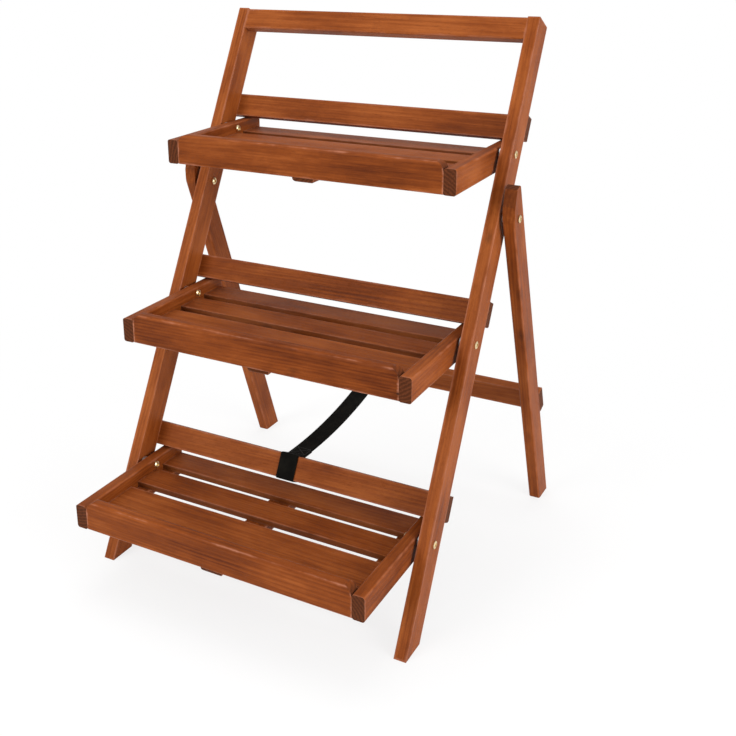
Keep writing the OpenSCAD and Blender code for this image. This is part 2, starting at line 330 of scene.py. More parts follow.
    def surface(self, colour: Value, roughness: Value, normal: Socket, **constants: float) -> Material:
        """Ends the tree in one principled surface.

        Args:
            colour: The base colour.
            roughness: The roughness.
            normal: The bumped normal.
            **constants: Plain numbers for other inputs, with _ for each space in a name.

        Returns:
            The finished material.
        """
        shader = self.add(
            "BsdfPrincipled", Base_Color=colour, Roughness=roughness, Normal=normal, **constants
        )
        self.tree.links.new(shader.outputs["BSDF"], self.add("OutputMaterial").inputs["Surface"])
        return self.owner


@dataclass(frozen=True)
class OiledHardwood:
    """Reddish-brown hardwood under satin oil, mottled and streaked, with dark ends, edges pale from wear and
    a painted highlight, and painted shade on the flanks of slats.
    """

    name: str = "oiled_hardwood"
    dark: Colour = (0.088, 0.017, 0.003)
    middle: Colour = (0.205, 0.046, 0.007)
    light: Colour = (0.315, 0.084, 0.017)
    # The pale edge colour: partly real wear, partly a painted highlight of the oil's sheen on rounded edges.
    worn: Colour = (0.44, 0.175, 0.1)
    end: Colour = (0.052, 0.015, 0.005)
    end_ring: Colour = (0.105, 0.029, 0.01)
    # The knots' colour, also laid on the flanks of slats as a painted shade for the gaps between them.
    knot_and_gap_shade: Colour = (0.022, 0.006, 0.002)
    fibre_scale: float = 1700.0
    streak_scale: float = 330.0
    mottle_scale: float = 20.0
    pore_scale: float = 2400.0
    ring_scale: float = 62.0
    saw_scale: float = 480.0
    patch_scale: float = 55.0
    knot_scale: float = 30.0
    knot_share: float = 0.16
    streak_share: float = 0.4
    ring_share: float = 0.05
    mottle_share: float = 0.62
    fibre_share: float = 0.15
    tone_share: float = 0.2
    darkening: float = 0.21
    pore_dark: float = 0.55
    end_dark: float = 0.94
    wear_and_highlight_width: float = 4.3 * MM
    relief: float = 0.35 * MM

    def material(self) -> Material:
        """Builds the wood, which reads the attributes that a board marks.

        Returns:
            The material.
        """
        g = Graph(bpy.data.materials.new(self.name))
        grain = g.attribute("grain")
        fibres = g.noise(grain, self.fibre_scale, 2, (1, 1, 0.02))
        streaks = g.noise(grain, self.streak_scale, 4, (1, 1, 0.02))
        mottle = g.noise(grain, self.mottle_scale, 4, (1, 1, 0.4))
        pores = g.remap(g.noise(grain, self.pore_scale, 1, (1, 1, 0.06)), 0.6, 0.74)
        drawn = g.vector("MULTIPLY", grain, (1, 1, 0.05))
        rings = g.add(
            "TexWave", {"wave_type": "RINGS", "rings_direction": "Z"},
            Vector=drawn, Scale=self.ring_scale, Distortion=5.0, Detail=2.0, Detail_Scale=0.7,
        ).outputs["Fac"]
        layers = ((rings, self.ring_share), (mottle, self.mottle_share), (fibres, self.fibre_share))
        value = g.sum_of(layers, g.maths("MULTIPLY", streaks, self.streak_share))
        value = g.maths("SUBTRACT", value, self.darkening)
        value = g.maths("MULTIPLY_ADD", g.attribute("tone", "Fac"), self.tone_share, value)
        colour = g.ramp(value, ((0.3, self.dark), (0.5, self.middle), (0.68, self.light)))
        colour = g.blend(g.maths("MULTIPLY", pores, self.pore_dark), colour, self.dark)
        # Eased edges go pale: wear mixed with a painted highlight.
        colour = g.blend(self.wear_and_highlight_share(g, grain, streaks), colour, self.worn)
        # Painted shade: the flanks of the slats, facing into the gaps between them, darken to the knot
        # colour.
        colour = g.blend(g.attribute("stain", "Fac"), colour, self.knot_and_gap_shade)
        end = g.attribute("end", "Fac")
        cut = g.remap(g.maths("MULTIPLY_ADD", rings, 0.35, g.noise(grain, self.saw_scale, 3)), 0.45, 0.95)
        cut_colour = g.blend(cut, self.end, self.end_ring)
        colour = g.blend(g.maths("MULTIPLY", end, self.end_dark), colour, cut_colour)
        colour = g.blend(self.knots(g, grain), colour, self.knot_and_gap_shade)
        roughness = g.remap(streaks, 0.3, 0.7, 0.4, 0.54)
        roughness = g.maths("MULTIPLY_ADD", end, 0.2, roughness)
        height = g.sum_of(((streaks, 0.8), (pores, -0.7)), fibres)
        return g.surface(
            colour, roughness, g.bump(height, self.relief, 0.5),
            Specular_IOR_Level=0.07, Sheen_Weight=0.02, Sheen_Roughness=0.4,
        )

    def knots(self, g: Graph, grain: Socket) -> Socket:
        """Rare small pin knots, drawn out along the grain, with a soft dark halo.

        Args:
            g: The tree.
            grain: The place in the grain.

        Returns:
            A share from 0 to 1.
        """
        near = g.vector("ADD", grain, g.vector("MULTIPLY", g.warp(grain, 160), (2 * MM, 2 * MM, 0)))
        cells = g.add("TexVoronoi", Vector=g.vector("MULTIPLY", near, (1, 1, 0.45)), Scale=self.knot_scale)
        chosen = g.maths("LESS_THAN", g.parts(cells.outputs["Color"])[0], self.knot_share)
        core = g.remap(cells.outputs["Distance"], 0.045, 0.075, 0.9, 0.0)
        halo = g.remap(cells.outputs["Distance"], 0.06, 0.22, 0.4, 0.0)
        return g.maths("MULTIPLY", chosen, g.maths("MAXIMUM", core, halo))

    def wear_and_highlight_share(self, g: Graph, grain: Socket, streaks: Socket) -> Socket:
        """How pale a place goes, from wear and a painted highlight, by its distance to the board's nearest
        edge.

        Args:
            g: The tree.
            grain: The place in the grain.
            streaks: Fine noise that frays the worn line.

        Returns:
            A share from 0 to 1.
        """
        rim = g.vector("SUBTRACT", g.attribute("half"), g.vector("ABSOLUTE", g.attribute("board")))
        x, y, z = g.parts(rim)
        total = g.maths("ADD", g.maths("ADD", x, y), z)
        least = g.maths("MINIMUM", g.maths("MINIMUM", x, y), z)
        most = g.maths("MAXIMUM", g.maths("MAXIMUM", x, y), z)
        between = g.maths("SUBTRACT", g.maths("SUBTRACT", total, least), most)
        patches = g.noise(grain, self.patch_scale, 3, (1, 1, 0.6))
        away = g.sum_of(((streaks, 4 * MM), (patches, 7 * MM)), between)
        worn = g.remap(away, self.wear_and_highlight_width, 2 * self.wear_and_highlight_width, 1.0, 0.0)
        return g.maths("MULTIPLY", worn, g.attribute("wear", "Fac"))


@dataclass(frozen=True)
class Metal:
    """A metal with fine scratches and a blotchy tarnish."""

    name: str
    bright: Colour
    tarnish: Colour
    polish: float = 0.28
    blotch_scale: float = 260.0
    scratch_scale: float = 2600.0
    blotch_share: float = 0.55
    relief: float = 0.05 * MM

    def material(self) -> Material:
        """Builds the metal.

        Returns:
            The material.
        """
        g = Graph(bpy.data.materials.new(self.name))
        place = g.place()
        blotch = g.remap(g.noise(place, self.blotch_scale, 4), 0.42, 0.68)
        scratch = g.noise(place, self.scratch_scale, 2, (0.12, 1, 1))
        colour = g.blend(g.maths("MULTIPLY", blotch, self.blotch_share), self.bright, self.tarnish)
        roughness = g.maths("MULTIPLY_ADD", blotch, 0.2, self.polish)
        return g.surface(colour, roughness, g.bump(scratch, self.relief, 0.4), Metallic=1.0)


@dataclass(frozen=True)
class Flecked:
    """A plain matt stuff with fine flecks drawn out one way, such as turned beech or sewing thread."""

    name: str
    ground: Colour
    fleck: Colour
    scale: float
    detail: float
    stretch: tuple[float, float, float]
    onset: tuple[float, float]
    strength: float
    roughness: float = 0.6
    relief: float = 0.1 * MM

    def material(self) -> Material:
        """Builds the stuff.

        Returns:
            The material.
        """
        g = Graph(bpy.data.materials.new(self.name))
        flecks = g.noise(g.place(), self.scale, self.detail, self.stretch)
        colour = g.blend(g.remap(flecks, *self.onset), self.ground, self.fleck)
        return g.surface(colour, self.roughness, g.bump(flecks, self.relief, self.strength))


@dataclass(frozen=True)
class Webbing:
    """Flat black woven webbing, with ribs along it, a crossing yarn, painted shade in the hollows of the
    weave and a little dust.
    """

    name: str = "black_webbing"
    # Painted shade: the colour of the weave's hollows, darker than the yarn on the crests.
    shaded_valley: Colour = (0.0015, 0.0015, 0.0013)
    crest: Colour = (0.007, 0.0065, 0.005)
    dust: Colour = (0.012, 0.011, 0.008)
    rib: float = 1.5 * MM
    pick: float = 1.1 * MM
    fuzz_scale: float = 1500.0
    dust_scale: float = 60.0
    relief: float = 0.25 * MM

    def material(self) -> Material:
        """Builds the webbing, which reads the lay attribute: across, along and through the strap.

        Returns:
            The material.
        """
        g = Graph(bpy.data.materials.new(self.name))
        across, along, _ = g.parts(g.attribute("lay"))
        warp = g.maths("SINE", g.maths("MULTIPLY", across, math.tau / self.rib))
        picks = g.maths("MULTIPLY", along, math.tau / self.pick)
        weft = g.maths("SINE", g.maths("MULTIPLY_ADD", warp, 0.9, picks))
        height = g.maths("MULTIPLY_ADD", g.maths("ABSOLUTE", warp), 0.6, g.maths("MULTIPLY", weft, 0.3))
        fuzz = g.noise(g.place(), self.fuzz_scale, 3)
        worn = g.remap(g.noise(g.place(), self.dust_scale, 3), 0.4, 0.75, 0.0, 0.6)
        # The weave darkens towards its hollows by height: painted shade.
        colour = g.blend(g.remap(height, 0.0, 0.85), self.shaded_valley, self.crest)
        colour = g.blend(worn, colour, self.dust)
        height = g.maths("MULTIPLY_ADD", fuzz, 0.25, height)
        return g.surface(colour, 0.78, g.bump(height, self.relief, 0.8), Specular_IOR_Level=0.06)


@dataclass(frozen=True)
class Finishes:
    """One material for each of the record's slots, and the sewing thread."""

    wood: Material
    dowel_wood: Material
    brass: Material
    steel: Material
    webbing: Material
    thread: Material

    @classmethod
    def made(cls) -> "Finishes":
        """Builds every finish once.

        Returns:
            The finishes.
        """
        beech = Flecked(
            "dowel_beech", (0.62, 0.45, 0.28), (0.42, 0.27, 0.14),
            scale=900, detail=3, stretch=(0.1, 1, 1), onset=(0.45, 0.7), strength=0.4,
        )
        thread = Flecked(
            "black_thread", (0.02, 0.02, 0.02), (0.055, 0.055, 0.05),
            scale=3500, detail=2, stretch=(1, 0.4, 0.4), onset=(0.4, 0.65), strength=0.6,
        )
        return cls(
            wood=OiledHardwood().material(),
            dowel_wood=beech.material(),
            brass=Metal("pale_brass", (0.86, 0.7, 0.42), (0.42, 0.3, 0.14)).material(),
            steel=Metal("zinc_steel", (0.56, 0.57, 0.58), (0.3, 0.3, 0.31), 0.4).material(),
            webbing=Webbing().material(),
            thread=thread.material(),
        )


# ---- Making and dressing meshes ----


def linked(name: str, data: bpy.types.ID) -> Piece:
    """Puts a mesh, a light or a camera into the scene.

    Args:
        name: The object's name.
        data: What it shows.

    Returns:
        The new object, at the origin.
    """
    made = bpy.data.objects.new(name, data)
    bpy.context.scene.collection.objects.link(made)
    return made


def body_of(node: str) -> str:
    """The body that a CAD node rides on."""
    bodies = frame["record"]["behaviour"]["bodies"]
    return next(body for body, members in bodies.items() if node in members)


def slot_of(node: str) -> str:
    """The record's material slot of a CAD node."""
    return next(part["material_slot"] for part in frame["record"]["subparts"] if part["node"] == node)


def joined_copy(node: str) -> Shell:
    """A CAD node's mesh with its loose triangles joined.

    Args:
        node: The CAD node.

    Returns:
        A closed mesh in the stand's frame.
    """
    bm = bmesh.new()
    bm.from_mesh(frame["nodes"][node].data)
    bmesh.ops.remove_doubles(bm, verts=bm.verts, dist=NEAR)
    return bm


def separate_solids(node: str) -> list[list[Vector]]:
    """The corner points of each separate solid in a CAD node.

    Args:
        node: The CAD node.

    Returns:
        A list of points for each solid, from left to right and then from the front back.
    """
    bm = joined_copy(node)
    unseen = set(bm.verts)
    found = []
    while unseen:
        island, queue = [], [unseen.pop()]
        while queue:
            corner = queue.pop()
            island.append(corner.co.copy())
            near = {edge.other_vert(corner) for edge in corner.link_edges} & unseen
            unseen -= near
            queue.extend(near)
        found.append(island)
    bm.free()
    return sorted(found, key=lambda points: tuple(round(c, 4) for c in middle_of(points)))


def shown(bm: Shell, name: str, materials: Sequence[Material], smooth_deg: float = 50.0) -> Piece:
    """Turns a bmesh into an object with smooth faces and crisp corners.

    Args:
        bm: The mesh, which is freed.
        name: The object's name.
        materials: Its materials, in slot order.
        smooth_deg: Corners above this angle stay crisp.

    Returns:
        The linked object, at the origin.
    """
    for face in bm.faces:
        face.smooth = True
    for edge in bm.edges:
        edge.smooth = len(edge.link_faces) == 2 and edge.calc_face_angle() < math.radians(smooth_deg)
    mesh = bpy.data.meshes.new(name)
    bm.to_mesh(mesh)
    bm.free()
    for material in materials:
        mesh.materials.append(material)
    made = linked(name, mesh)
    weighted = made.modifiers.new("weighted_normals", "WEIGHTED_NORMAL")
    weighted.keep_sharp = True
    return made


def stand_in(made: Piece, node: str) -> Piece:
    """Lets a piece replace a CAD node, and ride on its body.

    Args:
        made: The finished piece.
        node: The CAD node that it stands for.

    Returns:
        The piece.
    """
    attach(made, body_of(node))
    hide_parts(node)
    slot_of(node)
    log.info("%s stands for %s, with %d faces", made.name, node, len(made.data.polygons))
    return made


def turned(profile: Iterable[tuple[float, float]], steps: int) -> Shell:
    """Spins a profile about Z.

    Args:
        profile: Radius and height pairs, from the bottom to the top.
        steps: Facets round it.

    Returns:
        An open or closed turned mesh.
    """
    bm = bmesh.new()
    corners = [bm.verts.new((radius, 0, height)) for radius, height in profile]
    edges = [bm.edges.new(pair) for pair in zip(corners, corners[1:])]
    bmesh.ops.spin(
        bm, geom=corners + edges, cent=(0, 0, 0), axis=(0, 0, 1), angle=math.tau, steps=steps, use_merge=True
    )
    bmesh.ops.remove_doubles(bm, verts=bm.verts, dist=TOUCHING)
    return bm


def rim_edges(bm: Shell, height: float) -> Ring:
    """Finds the open edges of a mesh at one height.

    Args:
        bm: The mesh.
        height: Their place along Z.

    Returns:
        The edges.
    """
    return [
        edge for edge in bm.edges
        if edge.is_boundary and all(abs(v.co.z - height) < NEAR for v in edge.verts)
    ]


def of_kind(parts: Iterable[Any], kind: type) -> list[Any]:
    """The corners, or the edges, among the mixed parts of a mesh."""
    return [part for part in parts if isinstance(part, kind)]


def drawn_in(bm: Shell, edges: Ring, place: Callable[[Vector], Vector]) -> Ring:
    """Extrudes an open ring and puts each new corner in its place.

    Args:
        bm: The mesh.
        edges: The ring.
        place: Gives a new corner's place from its old one.

    Returns:
        The new ring.
    """
    grown = bmesh.ops.extrude_edge_only(bm, edges=edges)["geom"]
    for corner in of_kind(grown, bmesh.types.BMVert):
        corner.co = place(corner.co)
    return of_kind(grown, bmesh.types.BMEdge)


def closed(bm: Shell, edges: Ring) -> Shell:
    """Fills a ring and turns every face outwards.

    Args:
        bm: The mesh.
        edges: The ring.

    Returns:
        The same mesh, closed.
    """
    bmesh.ops.edgeloop_fill(bm, edges=edges)
    bmesh.ops.recalc_face_normals(bm, faces=bm.faces)
    return bm


def added(whole: Shell, part: Shell, place: Matrix) -> None:
    """Puts a part into a larger mesh, and frees the part.

    Args:
        whole: The larger mesh.
        part: The part, about its own origin.
        place: Where it goes.
    """
    bmesh.ops.transform(part, matrix=place, verts=part.verts)
    scratch = bpy.data.meshes.new("scratch")
    part.to_mesh(scratch)
    part.free()
    whole.from_mesh(scratch)
    bpy.data.meshes.remove(scratch)


def one_each(
    node: str, ending: str, make: Callable[[list[Vector]], tuple[Shell, Matrix]],
    material: Material, smooth_deg: float = 50.0,
) -> Piece:
    """Makes one fixing for each solid of a node, and lets the set stand for the node.

    Args:
        node: The CAD node.
        ending: What the set's name adds to the node's.
        make: Makes a fixing and its place from its solid's points.
        material: Its finish.
        smooth_deg: Corners above this angle stay crisp.

    Returns:
        The dressed set.
    """
    whole = bmesh.new()
    for points in separate_solids(node):
        added(whole, *make(points))
    return stand_in(shown(whole, node + ending, [material], smooth_deg), node)


# ---- Boards ----


@dataclass
class Board:
    """One wooden board, rebuilt from its CAD node with eased edges and its own cut of the grain."""

    node: str
    grain: Grain
    tilt_deg: float = 0.0
    tone: float = 0.5
    # How strong the pale edges are, from wear and a painted highlight.
    wear: float = 0.5
    # How much painted shade darkens the faces across the board's width, for the dark gaps between slats.
    edge_stain: float = 0.0
    under_ease: float = 0.0
    ease: float = 2.6 * MM
    end_ease: float = 0.9 * MM
    segments: int = 4
    shortest: float = 0.58 * MM
    corner_deg: float = 22.0
    flat_deg: float = 0.4
    seam_step: float = 8 * MM
    pith_near: float = 35 * MM
    pith_far: float = 110 * MM
    log_length: float = 3.0
    wander_deg: float = 1.4
    tone_spread: float = 0.2
    along_share: float = 0.999
    end_slant: float = 0.35
    mark_slant: float = 0.3

    def axes(self) -> Matrix:
        """The board's own axes in the stand's frame, its length last."""
        return tilted(self.tilt_deg) @ Matrix(self.grain.value).transposed()

    def build(self, wood: Material) -> Piece:
        """Eases the board's edges, marks its grain, and shows it.

        Args:
            wood: The board's material.

        Returns:
            The dressed board.
        """
        bm = joined_copy(self.node)
        bmesh.ops.dissolve_limit(bm, angle_limit=math.radians(self.flat_deg), verts=bm.verts, edges=bm.edges)
        self.clear_corners(bm)
        if self.under_ease > 0:
            lowest = min(corner.co.z for corner in bm.verts) + NEAR
            self.eased(bm, self.under_ease, lambda edge: self.runs_below(edge, lowest))
        else:
            length_way = self.axes().col[2]
            self.eased(bm, self.ease, lambda edge: self.runs_along(edge, length_way))
            self.eased(bm, self.end_ease, lambda edge: self.rounds_an_end(edge, length_way))
        self.mark(bm)
        return stand_in(shown(bm, self.node + "_board", [wood]), self.node)

    def clear_corners(self, bm: Shell) -> None:
        """Moves each flat seam that runs from a bore to a corner of the board a little along an edge.

        Args:
            bm: The board, where a face with a bore is split by such seams.
        """
        flat = math.radians(self.flat_deg)
        for corner in list(bm.verts):
            seams = [edge for edge in corner.link_edges if edge.calc_face_angle(math.pi) < flat]
            for seam in seams if len(corner.link_edges) - len(seams) == 3 else ():
                face = seam.link_faces[0]
                beside = next(edge for edge in face.edges if edge != seam and corner in edge.verts)
                if beside in seams or beside.calc_length() < 2 * self.seam_step:
                    continue
                bore = seam.other_vert(corner)
                _, spot = bmesh.utils.edge_split(beside, corner, self.seam_step / beside.calc_length())
                bmesh.utils.face_split(face, spot, bore)
                bmesh.ops.dissolve_edges(bm, edges=[seam], use_verts=False)

    def runs_along(self, edge: bmesh.types.BMEdge, length_way: Vector) -> bool:
        """Whether an edge lies along the board's length."""
        way = (edge.verts[1].co - edge.verts[0].co).normalized()
        return abs(way.dot(length_way)) > self.along_share

    def runs_below(self, edge: bmesh.types.BMEdge, lowest: float) -> bool:
        """Whether an edge is a long one of the board's underside, and not of a bore's rim."""
        return edge.calc_length() > self.under_ease and all(corner.co.z < lowest for corner in edge.verts)

    def rounds_an_end(self, edge: bmesh.types.BMEdge, length_way: Vector) -> bool:
        """Whether an edge borders a face that is cut across the board."""
        return any(abs(face.normal.dot(length_way)) > self.end_slant for face in edge.link_faces)

    def eased(self, bm: Shell, radius: float, chosen: Callable[[bmesh.types.BMEdge], bool]) -> None:
        """Bevels the sharp edges that are chosen, apart from the short ones round bores.

        Args:
            bm: The board.
            radius: The bevel's width.
            chosen: Which edges.
        """
        sharp = [
            edge for edge in bm.edges
            if len(edge.link_faces) == 2
            and edge.calc_length() > self.shortest
            and edge.calc_face_angle() > math.radians(self.corner_deg)
            and chosen(edge)
        ]
        bmesh.ops.bevel(
            bm, geom=sharp, offset=radius, offset_type="OFFSET", segments=self.segments, profile=0.5,
            affect="EDGES", material=-1, clamp_overlap=True,
        )

    def own_cut(self) -> tuple[Vector, Matrix, float]:
        """Draws the way the board was cut from its log.

        Returns:
            The place of its middle in the log, the slant of its grain, and its tone.
        """
        draw = random.Random(self.node)
        turn = draw.uniform(0, math.tau)
        away = draw.uniform(self.pith_near, self.pith_far)
        place = Vector((away * math.cos(turn), away * math.sin(turn), draw.uniform(0, self.log_length)))
        slant = tilted(draw.uniform(-self.wander_deg, self.wander_deg))
        slant @= tilted(draw.uniform(-self.wander_deg, self.wander_deg), "Y")
        return place, slant, self.tone + draw.uniform(-self.tone_spread, self.tone_spread)

    def mark(self, bm: Shell) -> None:
        """Writes the attributes that the wood reads: its grain, the place in the board, the board's half
        size, its tone, how pale its edges go from wear and a painted highlight, its end grain, and a painted
        shade on the flanks of slats.

        Args:
            bm: The board.
        """
        back = self.axes().transposed()
        local = [back @ corner.co for corner in bm.verts]
        low, high = (Vector(ends) for ends in zip(*(span(local, axis) for axis in range(3))))
        centre, half = (low + high) / 2, (high - low) / 2
        log_place, slant, tone = self.own_cut()
        vectors, numbers = bm.verts.layers.float_vector, bm.verts.layers.float
        grain, board, halves = (vectors.new(name) for name in ("grain", "board", "half"))
        tones, wear_and_highlight_layer = (numbers.new(name) for name in ("tone", "wear"))
        for corner, place in zip(bm.verts, local):
            corner[grain] = slant @ (place - centre) + log_place
            corner[board] = place - centre
            corner[halves] = half
            corner[tones] = tone
            corner[wear_and_highlight_layer] = self.wear
        end, stain = (bm.faces.layers.float.new(name) for name in ("end", "stain"))
        edge_way, _, length_way = self.axes().col
        for face in bm.faces:
            face[end] = self.squareness(face, length_way)
            # Painted shade on the flanks, where the gaps between slats lie in shade.
            face[stain] = self.edge_stain * self.squareness(face, edge_way)

    def squareness(self, face: bmesh.types.BMFace, way: Vector) -> float:
        """How squarely a face looks along a way, from 0 for a slanted face to 1."""
        return max(0.0, abs(face.normal.dot(way)) - self.mark_slant) / (1 - self.mark_slant)


@dataclass
class LadderFrame:
    """The leaning ladder frame: two stiles, the top rail and three cross rails."""

    boards: list[Board] = field(default_factory=lambda: [
        Board("stile_left", Grain.UP, -LEAN_DEG, tone=0.6, ease=3 * MM),
        Board("stile_right", Grain.UP, -LEAN_DEG, tone=0.6, ease=3 * MM),
        Board("top_rail", Grain.ACROSS, -LEAN_DEG, tone=0.6),
        *(
            Board(f"cross_rail_{level.value}", Grain.ACROSS, -LEAN_DEG, tone=0.65, ease=2 * MM)
            for level in Level
        ),
    ])

    def build(self, finishes: Finishes) -> None:
        """Builds every board of the frame and its dowels.

        Args:
            finishes: The materials.
        """
        for board in self.boards:
            board.build(finishes.wood)
        Dowels("top_rail_dowels").build(finishes)


@dataclass
class RearFrame:
    """The hinged rear frame: two legs and a rail."""

    boards: list[Board] = field(default_factory=lambda: [
        Board("rear_leg_left", Grain.UP, SPLAY_DEG, tone=0.8, ease=3 * MM),
        Board("rear_leg_right", Grain.UP, SPLAY_DEG, tone=0.8, ease=3 * MM),
        Board("rear_rail", Grain.ACROSS, SPLAY_DEG, tone=0.9, ease=2 * MM),
    ])

    def build(self, finishes: Finishes) -> None:
        """Builds every board of the rear frame."""
        for board in self.boards:
            board.build(finishes.wood)


@dataclass
class Tray:
    """One slatted tray: sides, a front board with a rounded top, three slats, cleats and a batten."""

    level: Level
    side_ease: float = 3.4 * MM
    slat_ease: float = 0.9 * MM
    cleat_ease: float = 1.0 * MM
    thin_end_ease: float = 0.6 * MM
    batten_ease: float = 6.0 * MM

    def named(self, part: str) -> str:
        """The CAD node of one part of this tray."""
        return f"tray_{self.level.value}_{part}"

    def boards(self) -> list[Board]:
        """Lists the tray's boards.

        Returns:
            The sides, the front board, the slats, the cleats and the batten.
        """
        hands = [side.name.lower() for side in Side]
        spots = ("front", "middle", "back")
        # Slats take painted shade on their flanks, for the gaps between them.
        slat = {"tone": 0.8, "edge_stain": 0.5, "ease": self.slat_ease, "end_ease": self.thin_end_ease}
        cleat = {"ease": self.cleat_ease, "end_ease": self.thin_end_ease}
        return [
            *(Board(self.named("side_" + hand), Grain.DEEP, ease=self.side_ease) for hand in hands),
            # The front boards take the strongest wear and painted highlight along their rounded tops.
            Board(self.named("front_board"), Grain.ACROSS, tone=0.3, wear=1.0),
            *(Board(self.named("slat_" + spot), Grain.ACROSS, **slat) for spot in spots),
            *(Board(self.named("cleat_" + hand), Grain.DEEP, **cleat) for hand in hands),
            Board(self.named("batten"), Grain.DEEP, under_ease=self.batten_ease),
        ]

    def build(self, finishes: Finishes) -> None:
        """Builds every board of the tray, its screws and its dowels.

        Args:
            finishes: The materials.
        """
        for board in self.boards():
            board.build(finishes.wood)
        Screws(self.named("screws"), Vector((0, 0, -1))).build(finishes)
        Dowels(self.named("dowels")).build(finishes)


# ---- Fixings ----


@dataclass
class Dowels:
    """Turned beech dowels with chamfered ends, lying across the stand."""

    node: str
    chamfer: float = 0.8 * MM
    steps: int = 24

    def build(self, finishes: Finishes) -> Piece:
        """Turns a dowel for each solid of the node."""
        return one_each(self.node, "_turned", self.dowel, finishes.dowel_wood)

    def dowel(self, points: Sequence[Vector]) -> tuple[Shell, Matrix]:
        """Turns one dowel.

        Args:
            points: The points of its solid.

        Returns:
            A closed mesh, and its place.
        """
        (left, right), (front, back) = span(points, 0), span(points, 1)
        middle = middle_of(points)
        radius, length = (back - front) / 2, right - left
        inner = radius - self.chamfer
        bm = turned((
            (0, 0), (inner, 0), (radius, self.chamfer),
            (radius, length - self.chamfer), (inner, length), (0, length),
        ), self.steps)
        bmesh.ops.recalc_face_normals(bm, faces=bm.faces)
        return bm, facing(Vector((left, middle.y, middle.z)), OUT_RIGHT)


@dataclass
class Screws:
    """Countersunk brass wood screws with a cross recess and a turned thread."""

    node: str
    outward: Vector
    shank: float = 2.0 * MM
    core: float = 1.35 * MM
    head: float = 4.0 * MM
    lip: float = 0.25 * MM
    pitch: float = 1.6 * MM
    slot_half: float = 0.45 * MM
    slot_reach: float = 2.1 * MM
    slot_depth: float = 1.3 * MM
    slot_taper: float = 0.72
    plain_share: float = 0.4
    point: float = 3.0 * MM
    flat: float = 0.001 * MM
    steps: int = 32

    def build(self, finishes: Finishes) -> Piece:
        """Makes a screw for each solid of the node."""
        return one_each(self.node, "_driven", self.driven, finishes.brass)

    def driven(self, points: Sequence[Vector]) -> tuple[Shell, Matrix]:
        """Makes one screw and finds its place.

        Args:
            points: The points of its solid.

        Returns:
            A closed mesh, and its place.
        """
        reach = [p.dot(self.outward) for p in points]
        middle = middle_of(points)
        top = middle + self.outward * (max(reach) - middle.dot(self.outward))
        return self.screw(max(reach) - min(reach)), facing(top, self.outward)

    def screw(self, length: float) -> Shell:
        """Makes one screw along -Z, its head's top at the origin.

        Args:
            length: The whole length.

        Returns:
            A closed mesh.
        """
        cone = self.head - self.shank
        plain = length * self.plain_share
        profile = [(self.head, 0), (self.head, -self.lip), (self.shank, -cone), (self.shank, -plain)]
        turns = int((length - plain - self.point) / self.pitch)
        for turn in range(turns):
            depth = -plain - turn * self.pitch
            profile += [(self.core, depth - 0.3 * self.pitch), (self.core, depth - 0.6 * self.pitch)]
            profile += [(self.shank, depth - 0.95 * self.pitch)]
        profile += [(self.core, self.point - length), (0, -length)]
        bm = turned(profile, self.steps)
        closed(bm, rim_edges(bm, 0))
        self.cross_cut(bm)
        return bm

    def cross_cut(self, bm: Shell) -> None:
        """Sinks a cross recess into the flat top of a head.

        Args:
            bm: The screw.
        """
        for way in (OUT_RIGHT, Vector((0, 1, 0))):
            for spot in (-self.slot_reach, -self.slot_half, self.slot_half, self.slot_reach):
                top = [face for face in bm.faces if self.is_top(face)]
                parts = {*top, *(e for f in top for e in f.edges), *(v for f in top for v in f.verts)}
                bmesh.ops.bisect_plane(
                    bm, geom=list(parts), plane_co=way * spot, plane_no=way, dist=self.flat
                )
        cross = [face for face in bm.faces if self.is_top(face) and self.in_cross(face.calc_center_median())]
        grown = bmesh.ops.extrude_face_region(bm, geom=cross)["geom"]
        corners = of_kind(grown, bmesh.types.BMVert)
        bmesh.ops.delete(bm, geom=cross, context="FACES_ONLY")
        taper = Matrix.Diagonal((self.slot_taper, self.slot_taper, 1.0, 1.0))
        sunk = Matrix.Translation((0, 0, -self.slot_depth)) @ taper
        bmesh.ops.transform(bm, matrix=sunk, verts=corners)
        bmesh.ops.recalc_face_normals(bm, faces=bm.faces)

    def is_top(self, face: bmesh.types.BMFace) -> bool:
        """Whether a face lies in the head's flat top."""
        return all(abs(v.co.z) < self.flat for v in face.verts)

    def in_cross(self, point: Vector) -> bool:
        """Whether a point of the top lies in the cross."""
        near, far = sorted((abs(point.x), abs(point.y)))
        return near < self.slot_half and far < self.slot_reach


